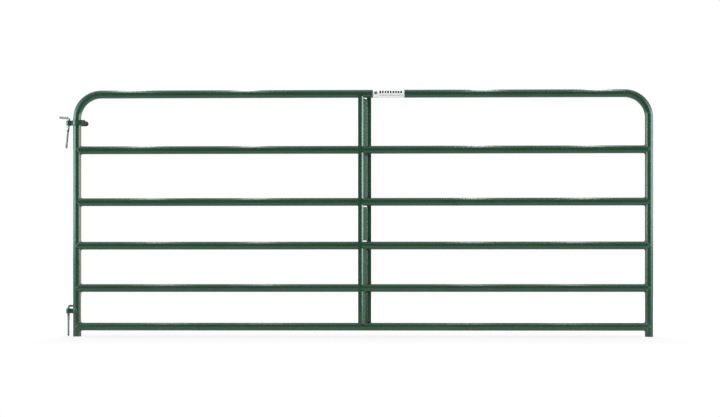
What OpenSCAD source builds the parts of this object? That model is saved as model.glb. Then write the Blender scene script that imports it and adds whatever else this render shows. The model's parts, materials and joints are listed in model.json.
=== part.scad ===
// Six-bar tubular field gate: a frame bent from one tube, five rails coped into its stiles,
// a pressed Z brace at mid-length, a clamped top hinge, a welded bottom hinge, and the two
// screw hooks that hang in the hinge eyes.
// The origin is the centre of the hinge stile's foot. +X runs along the gate to the latch
// end, +Y to the back and +Z up. All sizes are in millimetres.

/* [Gate] */
// Overall length, from the outside of one stile to the outside of the other
gate_l = 2985; // [1800:5:4800]
// Overall height, from the stiles' feet to the top of the frame
gate_h = 1270; // [1100:5:1500]
// Radius of the frame's two corner bends, on the tube's centre line
bend_r = 126; // [90:1:160]

/* [Tube] */
// Outside diameter of the frame and rail tube
tube_d = 41.3; // [35:0.1:48.3]
// Wall of the tube
wall_t = 1; // [0.8:0.1:3]

/* [Rails] */
// Height of the lowest rail's centre line above the feet
bottom_rail_z = 51; // [45:1:80]
// Rise from rail 1 to rail 2
rail_step_1 = 199; // [160:1:240]
// Rise from rail 2 to rail 3
rail_step_2 = 218.5; // [180:0.5:250]
// Rise from rail 3 to rail 4
rail_step_3 = 225; // [190:1:260]
// Rise from rail 4 to rail 5
rail_step_4 = 268; // [230:1:300]
// Rise from rail 5 to the frame's top tube
top_step = 288; // [255:1:400]

/* [Brace] */
// Thickness of the brace's sheet
brace_t = 2; // [1.5:0.1:3]
// Distance of the brace's front corner from mid-length, towards the latch
brace_offset = 4.5; // [-200:0.5:200]
// Width of the front flange, from its free edge to the web's corner
front_flange_w = 24; // [18:1:40]
// Width of the back flange, from the web's corner to its free edge
back_flange_w = 20.5; // [15:0.5:40]
// Sideways run of the slanted web from the front corner to the back one
web_run = 22.5; // [10:0.5:40]
// Radius of the brace's front bend, at the middle of the sheet
front_bend_r = 15; // [8:0.5:20]
// Radius of the brace's back bend, at the middle of the sheet
back_bend_r = 4; // [3:0.5:15]
// Height of the slots that let the rails through the front bend
brace_slot_h = 33; // [26:1:34]
// Corner radius of those slots
brace_slot_r = 5; // [2:0.5:6]

/* [Hinge straps] */
// Height of the hinge straps
strap_h = 25.4; // [20:0.1:40]
// Thickness of the hinge straps
strap_t = 4.8; // [3:0.1:6]
// Length of the pinched neck between the eye and the band on the stile
neck_l = 5.5; // [4:0.1:20]
// Radius of the fillets where a strap bends into its neck
strap_fillet_r = 3; // [1:0.5:4]
// Distance from the stile's far side to the clamp bolt's axis
bolt_reach = 19.5; // [19:0.5:35]
// Distance from the frame's corner bend down to the top of the clamp
clamp_drop = 9; // [2:0.5:40]
// Height of the bottom hinge's centre above the feet
bottom_hinge_z = 132; // [130:1:180]
// Angle that each leg of the welded strap wraps round the stile
leg_wrap = 90; // [60:1:120]

/* [Screw hooks] */
// Diameter of a hook's plain rod
hook_d = 12.7; // [10:0.1:16]
// Overall length of a hook's long leg, from the outside of its bend to its end
hook_l = 162; // [120:1:162]
// Length of a hook's arm, from the long leg's axis to its end
arm_l = 50; // [40:1:70]
// Radius inside a hook's bend
hook_inner_r = 2; // [0.5:0.5:8]
// Gap between the eye's rim and the arm over it. A hook hangs caught in its eye, not seated.
arm_rise = 7; // [0.3:0.1:12]
// Outside diameter of the screw thread
thread_d = 12; // [9:0.1:16]
// Length of the screw thread, without its taper
thread_l = 80; // [40:1:90]
// Length of the taper that leads into the thread
point_l = 4; // [3:1:20]
// Diameter of the blunt end of that taper
point_d = 8; // [3:0.5:8.5]
// Direction of the top hook's arm, turned from +X towards +Y
top_arm_angle = 180; // [60:5:300]
// Direction of the bottom hook's arm, turned from +X towards +Y
bottom_arm_angle = 55; // [50:5:310]

/* [Clamp bolt] */
// Diameter of the carriage bolt
bolt_d = 9.5; // [6:0.5:12]
// Diameter of its domed head
bolt_head_d = 20; // [14:0.5:24]
// Height of its domed head
bolt_head_h = 5; // [3:0.5:8]
// Width of its nut across the flats
nut_w = 14.3; // [12:0.1:19]
// Thickness of its nut
nut_h = 8.3; // [5:0.1:10]
// Thread that stands out past the nut
bolt_tail_l = 6; // [2:1:20]

/* [Label] */
// Length of the blank label on the top tube
label_l = 162; // [80:1:300]
// Distance from the brace's back flange to the label's near end
label_x = 8.5; // [2:0.5:400]
// Angle that the label wraps round the front of the tube
label_wrap = 170; // [60:1:180]
// Thickness of the label
label_t = 0.25; // [0.1:0.05:1]

/* [Welds] */
// Leg of the fillet welds
weld_leg = 5; // [3:0.5:8]
// Height of a weld over the tubes it joins
weld_cap = 2; // [1:0.5:3]

/* [Fits] */
// Clearance between a tube's end, or a strap's, and the wall that it is welded to
weld_gap = 0.2; // [0.1:0.05:0.5]
// Clearance between a weld bead and the tubes under it
bead_gap = 0.1; // [0.05:0.05:0.3]
// Clearance round the rails in the brace's holes
brace_hole_gap = 0.3; // [0.2:0.05:1]
// Clearance between the rails and the brace's flanges
flange_gap = 0.5; // [0.4:0.05:1]
// Width of the seam where a strap's two legs meet in its neck
seam_gap = 0.6; // [0.2:0.1:2]
// Play of a hook's rod in its eye, on the diameter
eye_play = 3.3; // [3:0.1:6]
// Clearance left where a hook's rod comes nearest to the bore of its eye
lean_gap = 0.5; // [0.4:0.05:1]
// Clearance round the bolt in the clamp's legs and in its nut
bolt_gap = 0.15; // [0.1:0.05:0.5]
// Clearance between the label and the tube
label_gap = 0.05; // [0.02:0.01:0.2]

/* [Hidden] */

$fn = 96;
overrun = 1;                                   // how far a cut runs past what it cuts

GREEN = [0.13, 0.26, 0.20];
ZINC = [0.62, 0.63, 0.62];
WHITE = [0.95, 0.95, 0.94];

// The frame's centre lines.
tube_r = tube_d / 2;
latch_x = gate_l - tube_d;
middle_x = latch_x / 2;
brace_x = middle_x + brace_offset;
top_z = gate_h - tube_r;
rises = [rail_step_1, rail_step_2, rail_step_3, rail_step_4, top_step];

// Sum of the first n values of a list.
function sum_of(values, n) = n == 0 ? 0 : values[n - 1] + sum_of(values, n - 1);

rise_count = len(rises);
spare_rise = (top_z - bottom_rail_z - sum_of(rises, rise_count)) / rise_count;
rail_z = [for (i = [0 : rise_count - 1]) bottom_rail_z + sum_of(rises, i) + i * spare_rise];

// The hinges. The eye's bore follows the hook, and the stile's band follows the tube.
hook_r = hook_d / 2;
eye_r = (hook_d + eye_play) / 2;
band_r = tube_r + weld_gap;
band_out_r = band_r + strap_t;
eye_out_r = eye_r + strap_t;
eye_x = -(band_out_r + neck_l + eye_out_r);
neck_half_w = strap_t + seam_gap / 2;
bolt_x = tube_r + bolt_reach;
top_hinge_z = top_z - bend_r - clamp_drop - strap_h / 2;

// The top hook leans until it has only lean_gap left on each side of it in the eye. The bottom
// one hangs straight and to one side, as near to the bore.
bottom_hook_x = eye_x - eye_play / 2 + lean_gap;
top_hook_lean = atan((eye_play - 2 * lean_gap) / strap_h);
hook_bend_r = hook_inner_r + hook_r;
hook_chamfer = hook_r / 6;

// The brace's section: the sheet's middle plane, its corners and the turn at each.
brace_y = tube_r + flange_gap + brace_t / 2;
web_angle = atan2(2 * brace_y, web_run);
front_setback = front_bend_r * tan(web_angle / 2);
bend_steps = 16;                               // flats that make up each bend

// ---------------------------------------------------------------- shared shapes

// Tube of the gate's size along +Z from the origin.
module tube(l) {
    linear_extrude(l) difference() {
        circle(tube_r);
        circle(tube_r - wall_t);
    }
}

// Solid round bar along +X from the origin.
module bar_x(r, l) {
    rotate([0, 90, 0]) cylinder(r = r, h = l);
}

// Quarter bend of the tube. It starts at the origin going up and ends going along +X.
module tube_bend() {
    translate([bend_r, 0, 0]) rotate([90, 0, 0]) rotate([0, 0, 90])
        rotate_extrude(angle = 90) translate([bend_r, 0]) difference() {
            circle(tube_r);
            circle(tube_r - wall_t);
        }
}

// Strap bent round a hole, as seen from above.
module strap_ring(r) {
    difference() {
        circle(r + strap_t);
        circle(r);
    }
}

// Fillets between a ring of outside radius r and flat faces at y_face, on the ring's +X side.
module strap_fillet(r, y_face) {
    y_c = y_face + strap_fillet_r;
    x_c = sqrt(pow(r + strap_fillet_r, 2) - pow(y_c, 2));
    for (side = [0, 1]) mirror([0, side]) difference() {
        polygon([[0, 0], [x_c, 0], [x_c, y_c]]);
        translate([x_c, y_c]) circle(strap_fillet_r);
    }
}

// Eye and neck of a hinge strap, from above, up to the stile's axis.
module eye_and_neck() {
    translate([eye_x, 0]) {
        strap_ring(eye_r);
        strap_fillet(eye_out_r, neck_half_w);
    }
    mirror([1, 0]) strap_fillet(band_out_r, neck_half_w);
    translate([eye_x, -neck_half_w]) square([-eye_x, 2 * neck_half_w]);
}

// What is cut out of a hinge strap, from above: the bores, and the seam between its legs.
module strap_bores() {
    circle(band_r);
    translate([eye_x, 0]) circle(eye_r);
    translate([eye_x, -seam_gap / 2]) square([-eye_x, seam_gap]);
}

// ---------------------------------------------------------------- frame and rails

module outer_frame() {
    color(GREEN) {
        tube(top_z - bend_r);
        translate([0, 0, top_z - bend_r]) tube_bend();
        translate([bend_r, 0, top_z]) rotate([0, 90, 0]) tube(latch_x - 2 * bend_r);
        translate([latch_x, 0, top_z - bend_r]) mirror([1, 0, 0]) tube_bend();
        translate([latch_x, 0, 0]) tube(top_z - bend_r);
    }
}

// Rail number i, counted from the lowest, coped at both ends to fit round the stiles.
module rail(i) {
    color(GREEN) difference() {
        translate([0, 0, rail_z[i]]) rotate([0, 90, 0]) tube(latch_x);
        for (x = [0, latch_x])
            translate([x, 0, rail_z[i] - tube_r - overrun])
                cylinder(r = tube_r + weld_gap, h = tube_d + 2 * overrun);
    }
}

// Saddle weld round a rail's end, at a stile on the z axis, for a rail that runs to +X.
module saddle_weld() {
    reach = (tube_d + weld_leg) / sqrt(2);
    difference() {
        for (side = [-1, 1]) rotate([0, side * 45, 0])
            translate([0, -tube_r - weld_cap, -weld_leg / sqrt(2)])
                cube([reach, tube_d + 2 * weld_cap, weld_leg * sqrt(2)]);
        translate([0, 0, -tube_d]) cylinder(r = tube_r + bead_gap, h = 2 * tube_d);
        bar_x(tube_r + bead_gap, 2 * tube_d);
        translate([-tube_d, -tube_d, -tube_d]) cube([tube_d, 2 * tube_d, 2 * tube_d]);
    }
}

module hinge_stile_welds() {
    color(GREEN) for (z = rail_z) translate([0, 0, z]) saddle_weld();
}

module latch_stile_welds() {
    color(GREEN) for (z = rail_z) translate([latch_x, 0, z]) mirror([1, 0, 0]) saddle_weld();
}

// ---------------------------------------------------------------- centre brace

// One side of half the Z section, from a flange's free edge round the bend to the web. The
// web's corner is the origin and the flange runs to -X. Side 1 is inside the bend, -1 outside.
function brace_side(flange_w, bend_r, side) =
    concat([[-flange_w, side * brace_t / 2]],
           [for (i = [0 : bend_steps])
               let (a = web_angle * i / bend_steps - 90, r = bend_r - side * brace_t / 2)
               [r * cos(a) - bend_r * tan(web_angle / 2), r * sin(a) + bend_r]]);

function reversed(points) = [for (i = [len(points) - 1 : -1 : 0]) points[i]];

// The Z section from above, with the web's front corner at x = 0.
module brace_section() {
    front = [0, -brace_y];
    back = [web_run, brace_y];
    polygon(concat(
        [for (p = brace_side(front_flange_w, front_bend_r, -1)) front + p],
        reversed([for (p = brace_side(back_flange_w, back_bend_r, 1)) back - p]),
        [for (p = brace_side(back_flange_w, back_bend_r, -1)) back - p],
        reversed([for (p = brace_side(front_flange_w, front_bend_r, 1)) front + p])));
}

// What one rail's slot takes out of the brace's front bend, from that rail's centre line. It
// starts at the flat of the flange and ends inside the round hole that the web has for the rail.
module brace_slot() {
    half_h = brace_slot_h / 2;
    depth = brace_y + brace_t;
    translate([-front_setback, -depth, 0]) {
        for (side = [-1, 1]) translate([brace_slot_r, 0, side * (half_h - brace_slot_r)])
            rotate([-90, 0, 0]) cylinder(r = brace_slot_r, h = depth);
        translate([0, 0, brace_slot_r - half_h])
            cube([2 * brace_slot_r, depth, brace_slot_h - 2 * brace_slot_r]);
        translate([brace_slot_r, 0, -half_h]) cube([front_setback + web_run, depth, brace_slot_h]);
    }
}

module centre_brace() {
    brace_w = front_flange_w + web_run + back_flange_w;
    color(GREEN) difference() {
        translate([brace_x, 0, bottom_rail_z])
            linear_extrude(top_z - bottom_rail_z) brace_section();
        for (z = concat(rail_z, [top_z]))
            translate([brace_x - front_flange_w - overrun, 0, z])
                bar_x(tube_r + brace_hole_gap, brace_w + 2 * overrun);
        for (z = concat(rail_z, [top_z])) translate([brace_x, 0, z]) brace_slot();
    }
}

// ---------------------------------------------------------------- hinges

// The clamp's leg on +Y, straight from the stile's back on, with a rounded end at the bolt.
module clamp_leg() {
    translate([0, band_out_r, 0]) rotate([90, 0, 0]) linear_extrude(strap_t) {
        translate([0, -strap_h / 2]) square([bolt_x, strap_h]);
        translate([bolt_x, 0]) circle(strap_h / 2);
    }
}

module top_hinge_clamp() {
    square_w = bolt_d + 2 * bolt_gap;
    color(GREEN) translate([0, 0, top_hinge_z]) difference() {
        union() {
            translate([0, 0, -strap_h / 2]) linear_extrude(strap_h) difference() {
                union() {
                    strap_ring(band_r);
                    eye_and_neck();
                }
                strap_bores();
                translate([0, -band_r]) square([2 * band_r, 2 * band_r]);
            }
            for (side = [0, 1]) mirror([0, side, 0]) clamp_leg();
        }
        translate([bolt_x, band_out_r + overrun, 0]) rotate([90, 0, 0])
            cylinder(r = bolt_d / 2 + bolt_gap, h = 2 * (band_out_r + overrun));
        translate([bolt_x - square_w / 2, -band_out_r - overrun, -square_w / 2])
            cube([square_w, strap_t + overrun, square_w]);
    }
}

// Carriage bolt through the legs: domed head in front, square neck in the front leg.
module top_hinge_bolt() {
    dome_r = (pow(bolt_head_d / 2, 2) + pow(bolt_head_h, 2)) / (2 * bolt_head_h);
    head_y = -band_out_r - bolt_gap;
    tail_y = band_out_r + bolt_gap + nut_h + bolt_tail_l;
    color(ZINC) translate([bolt_x, 0, top_hinge_z]) {
        intersection() {
            translate([0, head_y - bolt_head_h + dome_r, 0]) sphere(dome_r);
            translate([0, head_y, 0]) rotate([90, 0, 0])
                cylinder(r = dome_r, h = bolt_head_h + overrun);
        }
        translate([-bolt_d / 2, head_y, -bolt_d / 2]) cube([bolt_d, strap_t, bolt_d]);
        translate([0, tail_y, 0]) rotate([90, 0, 0]) cylinder(r = bolt_d / 2, h = tail_y - head_y);
    }
}

module top_hinge_nut() {
    color(ZINC) translate([bolt_x, band_out_r + bolt_gap + nut_h, top_hinge_z]) rotate([90, 0, 0])
        linear_extrude(nut_h) difference() {
            circle(nut_w / sqrt(3), $fn = 6);
            circle(bolt_d / 2 + bolt_gap);
        }
}

// The welded strap's legs lie on the stile's front and back and end leg_wrap round it.
module bottom_hinge_strap() {
    far = 2 * band_out_r;
    color(GREEN) translate([0, 0, bottom_hinge_z - strap_h / 2]) linear_extrude(strap_h)
        difference() {
            union() {
                eye_and_neck();
                intersection() {
                    strap_ring(band_r);
                    polygon([[0, 0], far * [-cos(leg_wrap), sin(leg_wrap)], [-far, far],
                             [-far, -far], far * [-cos(leg_wrap), -sin(leg_wrap)]]);
                }
            }
            strap_bores();
        }
}

// Upright welds where the welded strap's two legs end on the stile.
module bottom_hinge_welds() {
    bead_angle = weld_leg / tube_r * 180 / PI;
    gap_angle = bead_gap / tube_r * 180 / PI;
    color(GREEN) translate([0, 0, bottom_hinge_z - strap_h / 2])
        for (side = [0, 1]) mirror([0, side, 0])
            rotate([0, 0, 180 - leg_wrap - gap_angle - bead_angle])
                rotate_extrude(angle = bead_angle)
                    translate([tube_r + bead_gap, 0]) square([strap_t - bead_gap, strap_h]);
}

// ---------------------------------------------------------------- screw hooks

// Height of the bend's centre over the eye's centre, along the rod.
function hook_seat(lean) =
    strap_h / 2 * cos(lean) - eye_r * sin(lean) + arm_rise + hook_r - hook_bend_r;

// L-shaped screw hook with the eye's centre as its origin. Its arm points to +X, and a lean
// lifts the arm's end.
module screw_hook(lean) {
    leg_l = hook_l - hook_bend_r - hook_r;      // from the bend's end down to the leg's end
    straight_l = arm_l - hook_bend_r - hook_chamfer;
    color(ZINC) rotate([0, -lean, 0]) translate([0, 0, hook_seat(lean)]) {
        translate([0, 0, -leg_l]) {
            cylinder(r1 = point_d / 2, r2 = thread_d / 2, h = point_l);
            translate([0, 0, point_l]) cylinder(r = thread_d / 2, h = thread_l);
        }
        rod_l = leg_l - point_l - thread_l;
        translate([0, 0, -rod_l]) cylinder(r = hook_r, h = rod_l);
        translate([hook_bend_r, 0, 0]) rotate([90, 0, 0]) rotate([0, 0, 90])
            rotate_extrude(angle = 90) translate([hook_bend_r, 0]) circle(hook_r);
        translate([hook_bend_r, 0, hook_bend_r]) rotate([0, 90, 0]) {
            cylinder(r = hook_r, h = straight_l);
            translate([0, 0, straight_l])
                cylinder(r1 = hook_r, r2 = hook_r - hook_chamfer, h = hook_chamfer);
        }
    }
}

module top_screw_hook() {
    translate([eye_x, 0, top_hinge_z]) rotate([0, 0, top_arm_angle]) screw_hook(top_hook_lean);
}

module bottom_screw_hook() {
    translate([bottom_hook_x, 0, bottom_hinge_z]) rotate([0, 0, bottom_arm_angle]) screw_hook(0);
}

// ---------------------------------------------------------------- label

module label() {
    near_x = brace_x + web_run + back_flange_w + label_x;
    color(WHITE) translate([near_x, 0, top_z]) rotate([0, 90, 0])
        rotate([0, 0, -90 - label_wrap / 2]) rotate_extrude(angle = label_wrap)
            translate([tube_r + label_gap, 0]) square([label_t, label_l]);
}

outer_frame();
rail(0);  // rail_1
rail(1);  // rail_2
rail(2);  // rail_3
rail(3);  // rail_4
rail(4);  // rail_5
centre_brace();
top_hinge_clamp();
top_hinge_bolt();
top_hinge_nut();
bottom_hinge_strap();
hinge_stile_welds();
latch_stile_welds();
bottom_hinge_welds();
top_screw_hook();
bottom_screw_hook();
label();
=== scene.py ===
"""Looks of a six-bar tubular field gate with its strap hinges and screw hooks.

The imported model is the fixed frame: X runs along the gate from the hinge stile to the latch
stile, Y to the back and Z up, in metres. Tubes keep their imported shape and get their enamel
here. Hinges, brace, bolt, hooks, welds and label are modelled in full detail and stand for
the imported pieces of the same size.
"""

import json
import logging
import math
from dataclasses import dataclass, field
from enum import Enum

import bpy
from mathutils import Matrix, Vector

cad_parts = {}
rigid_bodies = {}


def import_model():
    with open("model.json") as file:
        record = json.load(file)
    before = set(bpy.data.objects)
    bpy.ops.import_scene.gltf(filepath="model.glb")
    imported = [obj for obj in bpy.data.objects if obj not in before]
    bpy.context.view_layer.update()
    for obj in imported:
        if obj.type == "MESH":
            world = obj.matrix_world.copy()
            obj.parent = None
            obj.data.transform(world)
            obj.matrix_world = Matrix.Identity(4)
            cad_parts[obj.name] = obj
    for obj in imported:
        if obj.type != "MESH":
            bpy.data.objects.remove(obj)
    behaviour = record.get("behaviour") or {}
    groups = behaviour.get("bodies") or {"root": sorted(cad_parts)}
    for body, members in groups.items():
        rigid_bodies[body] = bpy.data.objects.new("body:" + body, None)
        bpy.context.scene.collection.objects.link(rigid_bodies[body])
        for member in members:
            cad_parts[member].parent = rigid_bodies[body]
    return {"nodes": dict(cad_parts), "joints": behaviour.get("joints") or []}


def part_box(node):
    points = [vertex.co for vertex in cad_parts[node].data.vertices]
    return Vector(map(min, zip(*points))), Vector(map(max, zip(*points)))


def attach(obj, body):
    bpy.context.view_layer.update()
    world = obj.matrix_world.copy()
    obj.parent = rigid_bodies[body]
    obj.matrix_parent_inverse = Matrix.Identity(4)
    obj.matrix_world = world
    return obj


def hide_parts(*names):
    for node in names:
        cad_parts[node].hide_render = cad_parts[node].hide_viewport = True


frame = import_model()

LOG = logging.getLogger("field_gate")
MM = 0.001
GATE_BODY = "gate"
RAILS = [f"rail_{number}" for number in range(1, 6)]
MERGE = 1e-6
Point = tuple[float, float, float]
Light = tuple[float, float, float]
Colour = tuple[float, float, float, float]


# ------------------------------------------------------------------ shared tools of the bench


class Bench:
    """The modelling moves that every piece is made with."""

    @staticmethod
    def clear() -> None:
        """Deselects everything, so that an operator acts on the new piece alone."""
        for thing in bpy.context.view_layer.objects:
            thing.select_set(False)

    @staticmethod
    def pick(piece: bpy.types.Object) -> None:
        """Makes a piece the only selected object and the active one.

        Args:
            piece: the object to pick.
        """
        Bench.clear()
        piece.select_set(True)
        bpy.context.view_layer.objects.active = piece

    @staticmethod
    def modify(piece: bpy.types.Object, kind: str, **settings: object) -> None:
        """Adds one modifier to a piece and applies it.

        Args:
            piece: the object to change.
            kind: the modifier's type, such as BEVEL.
            settings: values of the modifier's own properties.
        """
        Bench.pick(piece)
        bpy.ops.object.modifier_add(type=kind)
        modifier = piece.modifiers[-1]
        for name, value in settings.items():
            setattr(modifier, name, value)
        bpy.ops.object.modifier_apply(modifier=modifier.name)

    @staticmethod
    def cut(piece: bpy.types.Object, cutters: list[bpy.types.Object]) -> None:
        """Takes the shape of each cutter out of a piece and throws the cutters away."""
        for cutter in cutters:
            Bench.modify(piece, "BOOLEAN", object=cutter, operation="DIFFERENCE", solver="EXACT")
            bpy.data.objects.remove(cutter)

    @staticmethod
    def join(pieces: list[bpy.types.Object], name: str) -> bpy.types.Object:
        """Joins several pieces into one.

        Args:
            pieces: the objects to join.
            name: the name of the joined piece.

        Returns:
            The joined object.
        """
        Bench.clear()
        for piece in pieces:
            piece.select_set(True)
        bpy.context.view_layer.objects.active = pieces[0]
        if len(pieces) > 1:
            bpy.ops.object.join()
        joined = bpy.context.view_layer.objects.active
        joined.name = name
        joined.data.name = name
        return joined

    @staticmethod
    def settle(piece: bpy.types.Object) -> None:
        """Puts a piece's place into its mesh, so that its object sits at the origin."""
        Bench.pick(piece)
        bpy.ops.object.transform_apply(location=True, rotation=True, scale=True)

    @staticmethod
    def outwards(piece: bpy.types.Object) -> None:
        """Merges a piece's doubled points and turns its faces outwards.

        Args:
            piece: the object to mend.
        """
        Bench.pick(piece)
        bpy.ops.object.mode_set(mode="EDIT")
        bpy.ops.mesh.select_all(action="SELECT")
        bpy.ops.mesh.remove_doubles(threshold=MERGE)
        bpy.ops.mesh.normals_make_consistent(inside=False)
        bpy.ops.object.mode_set(mode="OBJECT")

    @staticmethod
    def smooth(piece: bpy.types.Object, angle: float = 35.0) -> None:
        """Shades a piece smooth, apart from edges sharper than an angle in degrees."""
        Bench.pick(piece)
        bpy.ops.object.shade_smooth_by_angle(angle=math.radians(angle))

    @staticmethod
    def bar(radius: float, start: Point, end: Point, sides: int = 64) -> bpy.types.Object:
        """Makes a plain round bar between two points.

        Args:
            radius: the bar's radius.
            start: the centre of its first end.
            end: the centre of its other end.
            sides: how many sides it has round.

        Returns:
            The bar's object, with its place in its mesh.
        """
        first, last = Vector(start), Vector(end)
        run = last - first
        Bench.clear()
        bpy.ops.mesh.primitive_cylinder_add(
            vertices=sides, radius=radius, depth=run.length, location=(first + last) / 2,
            rotation=run.to_track_quat("Z", "Y").to_euler(),
        )
        piece = bpy.context.object
        Bench.settle(piece)
        return piece

    @staticmethod
    def rounded_block(size: Point, middle: Point, corner: float) -> bpy.types.Object:
        """Makes a block whose four edges along Y are rounded.

        Args:
            size: its size along each axis.
            middle: its centre.
            corner: the radius of those edges.

        Returns:
            The block's object, with its place in its mesh.
        """
        Bench.clear()
        bpy.ops.mesh.primitive_plane_add(size=1.0)
        piece = bpy.context.object
        piece.scale = (size[0], size[2], 1.0)
        Bench.settle(piece)
        bpy.ops.object.mode_set(mode="EDIT")
        bpy.ops.mesh.select_all(action="SELECT")
        bpy.ops.mesh.bevel(offset=corner, segments=5, affect="VERTICES")
        bpy.ops.object.mode_set(mode="OBJECT")
        piece.data.transform(Matrix.Translation(middle) @ Matrix.Rotation(math.pi / 2, 4, "X"))
        Bench.modify(piece, "SOLIDIFY", thickness=size[1], offset=0.0)
        Bench.outwards(piece)
        return piece


class BentSheet:
    """A flat strip bent along a plan path, as a bender would do it, one run after another.

    The strip starts as one upright edge. Straight runs extrude it and bends spin it, and
    thickness comes last.
    """

    def __init__(self, start: tuple[float, float], heading: float, low: float, high: float) -> None:
        """Stands the strip's first edge.

        Args:
            start: the edge's place in plan.
            heading: the first run's direction, in degrees from +X towards +Y.
            low: the height of the strip's lower edge.
            high: the height of its upper edge.
        """
        Bench.clear()
        bpy.ops.mesh.primitive_plane_add(size=1.0)
        self.piece = bpy.context.object
        self.place = Vector((start[0], start[1], 0.0))
        self.heading = math.radians(heading)
        mesh = self.piece.data
        first_edge = {0, 1}
        for vertex in mesh.vertices:
            vertex.select = vertex.index in first_edge
        for edge in mesh.edges:
            edge.select = set(edge.vertices) == first_edge
        for face in mesh.polygons:
            face.select = False
        bpy.ops.object.mode_set(mode="EDIT")
        bpy.ops.mesh.select_mode(type="VERT")
        bpy.ops.mesh.select_all(action="INVERT")
        bpy.ops.mesh.delete(type="VERT")
        bpy.ops.object.mode_set(mode="OBJECT")
        mesh.vertices[0].co = (start[0], start[1], low)
        mesh.vertices[1].co = (start[0], start[1], high)
        bpy.ops.object.mode_set(mode="EDIT")
        bpy.ops.mesh.select_all(action="SELECT")

    def straight(self, length: float, cuts: int = 1) -> "BentSheet":
        """Runs the strip straight on.

        Args:
            length: the run's length.
            cuts: how many equal parts the run is made of.

        Returns:
            This strip.
        """
        step = Vector((math.cos(self.heading), math.sin(self.heading), 0.0)) * (length / cuts)
        for _ in range(cuts):
            bpy.ops.mesh.extrude_region_move(TRANSFORM_OT_translate={"value": step})
            self.place += step
        return self

    def bend(self, radius: float, turn: float, step: float = 6.0) -> "BentSheet":
        """Bends the strip round a radius on its middle plane.

        Args:
            radius: the bend's radius.
            turn: its angle in degrees, to the left where positive.
            step: the angle of each flat of the bend, in degrees.

        Returns:
            This strip.
        """
        side = 1.0 if turn > 0 else -1.0
        left = Vector((-math.sin(self.heading), math.cos(self.heading), 0.0))
        centre = self.place + left * (side * radius)
        angle = math.radians(turn)
        bpy.ops.mesh.spin(
            steps=max(2, round(abs(turn) / step)), angle=-angle, center=centre, axis=(0, 0, 1)
        )
        self.place = centre + Matrix.Rotation(angle, 3, "Z") @ (self.place - centre)
        self.heading += angle
        return self

    def finish(self, name: str, mirrored: bool = False) -> bpy.types.Object:
        """Ends the strip.

        Args:
            name: the piece's name.
            mirrored: whether a second leg lies opposite, across the XZ plane.

        Returns:
            The strip's object, still without thickness.
        """
        bpy.ops.object.mode_set(mode="OBJECT")
        self.piece.name = name
        if mirrored:
            Bench.modify(self.piece, "MIRROR", use_axis=(False, True, False), merge_threshold=MERGE)
        Bench.outwards(self.piece)
        return self.piece


def strap_walls(piece: bpy.types.Object, thickness: float, edge: float) -> None:
    """Gives a bent strip its thickness and rounds its edges.

    Args:
        piece: the strip.
        thickness: the sheet's thickness, half on each side.
        edge: the radius of its edges.
    """
    Bench.modify(piece, "SOLIDIFY", thickness=thickness, offset=0.0, use_even_offset=True)
    Bench.outwards(piece)
    Bench.modify(piece, "BEVEL", width=edge, segments=3, limit_method="ANGLE",
                 angle_limit=math.radians(40.0))
    Bench.smooth(piece, 30.0)


# ------------------------------------------------------------------ finishes


class Nodes:
    """A short hand for building one material's or one group's nodes."""

    def __init__(self, tree: bpy.types.NodeTree) -> None:
        """Keeps the tree that the nodes are built in."""
        self.tree = tree

    def add(self, kind: str, **settings: object) -> bpy.types.Node:
        """Adds a node.

        Args:
            kind: the node's type.
            settings: values of the node's own properties.

        Returns:
            The node.
        """
        node = self.tree.nodes.new(kind)
        for name, value in settings.items():
            setattr(node, name, value)
        return node

    def link(self, source: bpy.types.NodeSocket, target: bpy.types.NodeSocket) -> None:
        """Links one socket to another."""
        self.tree.links.new(source, target)

    def feed(self, sockets: list[bpy.types.NodeSocket], values: tuple[object, ...]) -> None:
        """Links or sets each socket, whichever its value asks for."""
        for socket, value in zip(sockets, values):
            if isinstance(value, bpy.types.NodeSocket):
                self.link(value, socket)
            else:
                socket.default_value = value

    def maths(self, operation: str, *values: object) -> bpy.types.NodeSocket:
        """Adds a math node.

        Args:
            operation: the node's operation.
            values: its inputs in order, each a socket or a number.

        Returns:
            The node's output socket.
        """
        node = self.add("ShaderNodeMath", operation=operation)
        self.feed(node.inputs, values)
        return node.outputs[0]

    def parts(self, place: bpy.types.NodeSocket) -> bpy.types.NodeOutputs:
        """Splits coordinates.

        Args:
            place: the coordinates' socket.

        Returns:
            Their sockets, by the names X, Y and Z.
        """
        node = self.add("ShaderNodeSeparateXYZ")
        self.link(place, node.inputs[0])
        return node.outputs

    def ramp(self, factor: bpy.types.NodeSocket, low: float, high: float) -> bpy.types.NodeSocket:
        """Maps a factor to a smooth 0 to 1.

        Args:
            factor: the factor's socket.
            low: the factor at 0.
            high: the factor at 1. A lower one than at 0 turns the ramp round.

        Returns:
            The mapped factor's socket.
        """
        node = self.add("ShaderNodeMapRange", interpolation_type="SMOOTHSTEP")
        self.link(factor, node.inputs["Value"])
        node.inputs["From Min"].default_value = low
        node.inputs["From Max"].default_value = high
        return node.outputs["Result"]

    def mix(self, factor: object, first: object, second: object) -> bpy.types.NodeSocket:
        """Mixes two colours.

        Args:
            factor: a socket or a number.
            first: the colour at 0, a socket or a value.
            second: the colour at 1, a socket or a value.

        Returns:
            The mixed colour's socket.
        """
        node = self.add("ShaderNodeMix", data_type="RGBA")
        self.feed([node.inputs[0], node.inputs[6], node.inputs[7]], (factor, first, second))
        return node.outputs[2]

    def noise(self, place: bpy.types.NodeSocket, scale: object, detail: float) -> bpy.types.NodeSocket:
        """Adds a noise texture.

        Args:
            place: the coordinates' socket.
            scale: the texture's scale, a socket or a number.
            detail: how many finer layers it has.

        Returns:
            The texture's factor.
        """
        node = self.add("ShaderNodeTexNoise")
        self.feed([node.inputs[name] for name in ("Vector", "Scale", "Detail")], (place, scale, detail))
        return node.outputs[0]


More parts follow.
